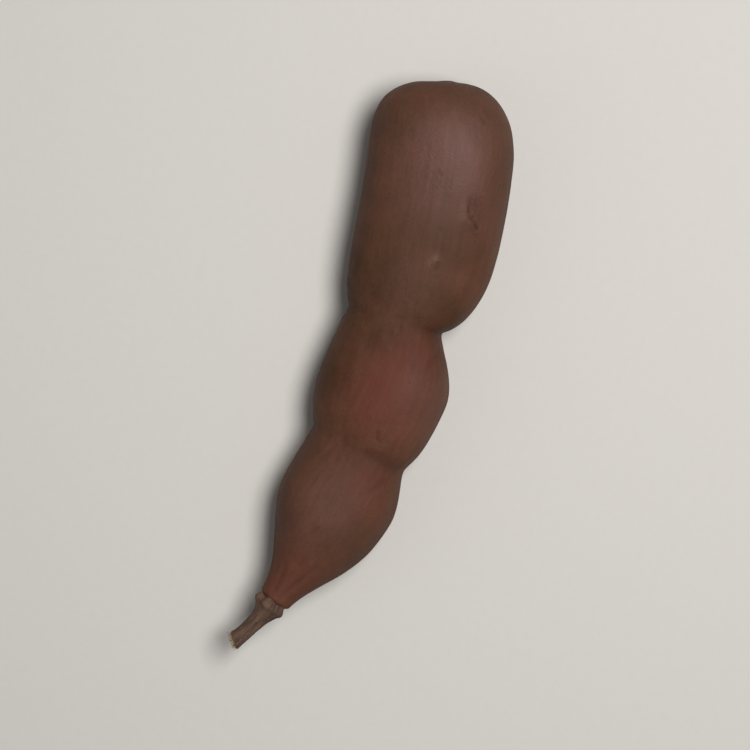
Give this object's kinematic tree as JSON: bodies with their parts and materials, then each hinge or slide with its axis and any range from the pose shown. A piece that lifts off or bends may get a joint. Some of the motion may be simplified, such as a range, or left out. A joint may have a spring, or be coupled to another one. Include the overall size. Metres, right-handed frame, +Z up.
{
  "type": "tamarind pod",
  "caption": "Curved, lumpy tamarind pod in its dry brown shell, pinched between its seeds, with a short woody stub of stalk, lying on its side.",
  "frame": {"origin": "on the surface that the pod lies on, under the middle of its box", "axes": "+Y along the pod from the stalk to the blunt tip, +X towards its outer, convex edge, +Z up from the surface"},
  "size_m": [0.0296, 0.1122, 0.0206],
  "materials": {
    "shell": "dry, brittle, satin-matt brown shell, faintly mottled and scurfy",
    "stalk": "matt bark with a torn pale end"
  },
  "bodies": {
    "root": {"pod": "shell", "stalk": "stalk"}
  },
  "joints": []
}
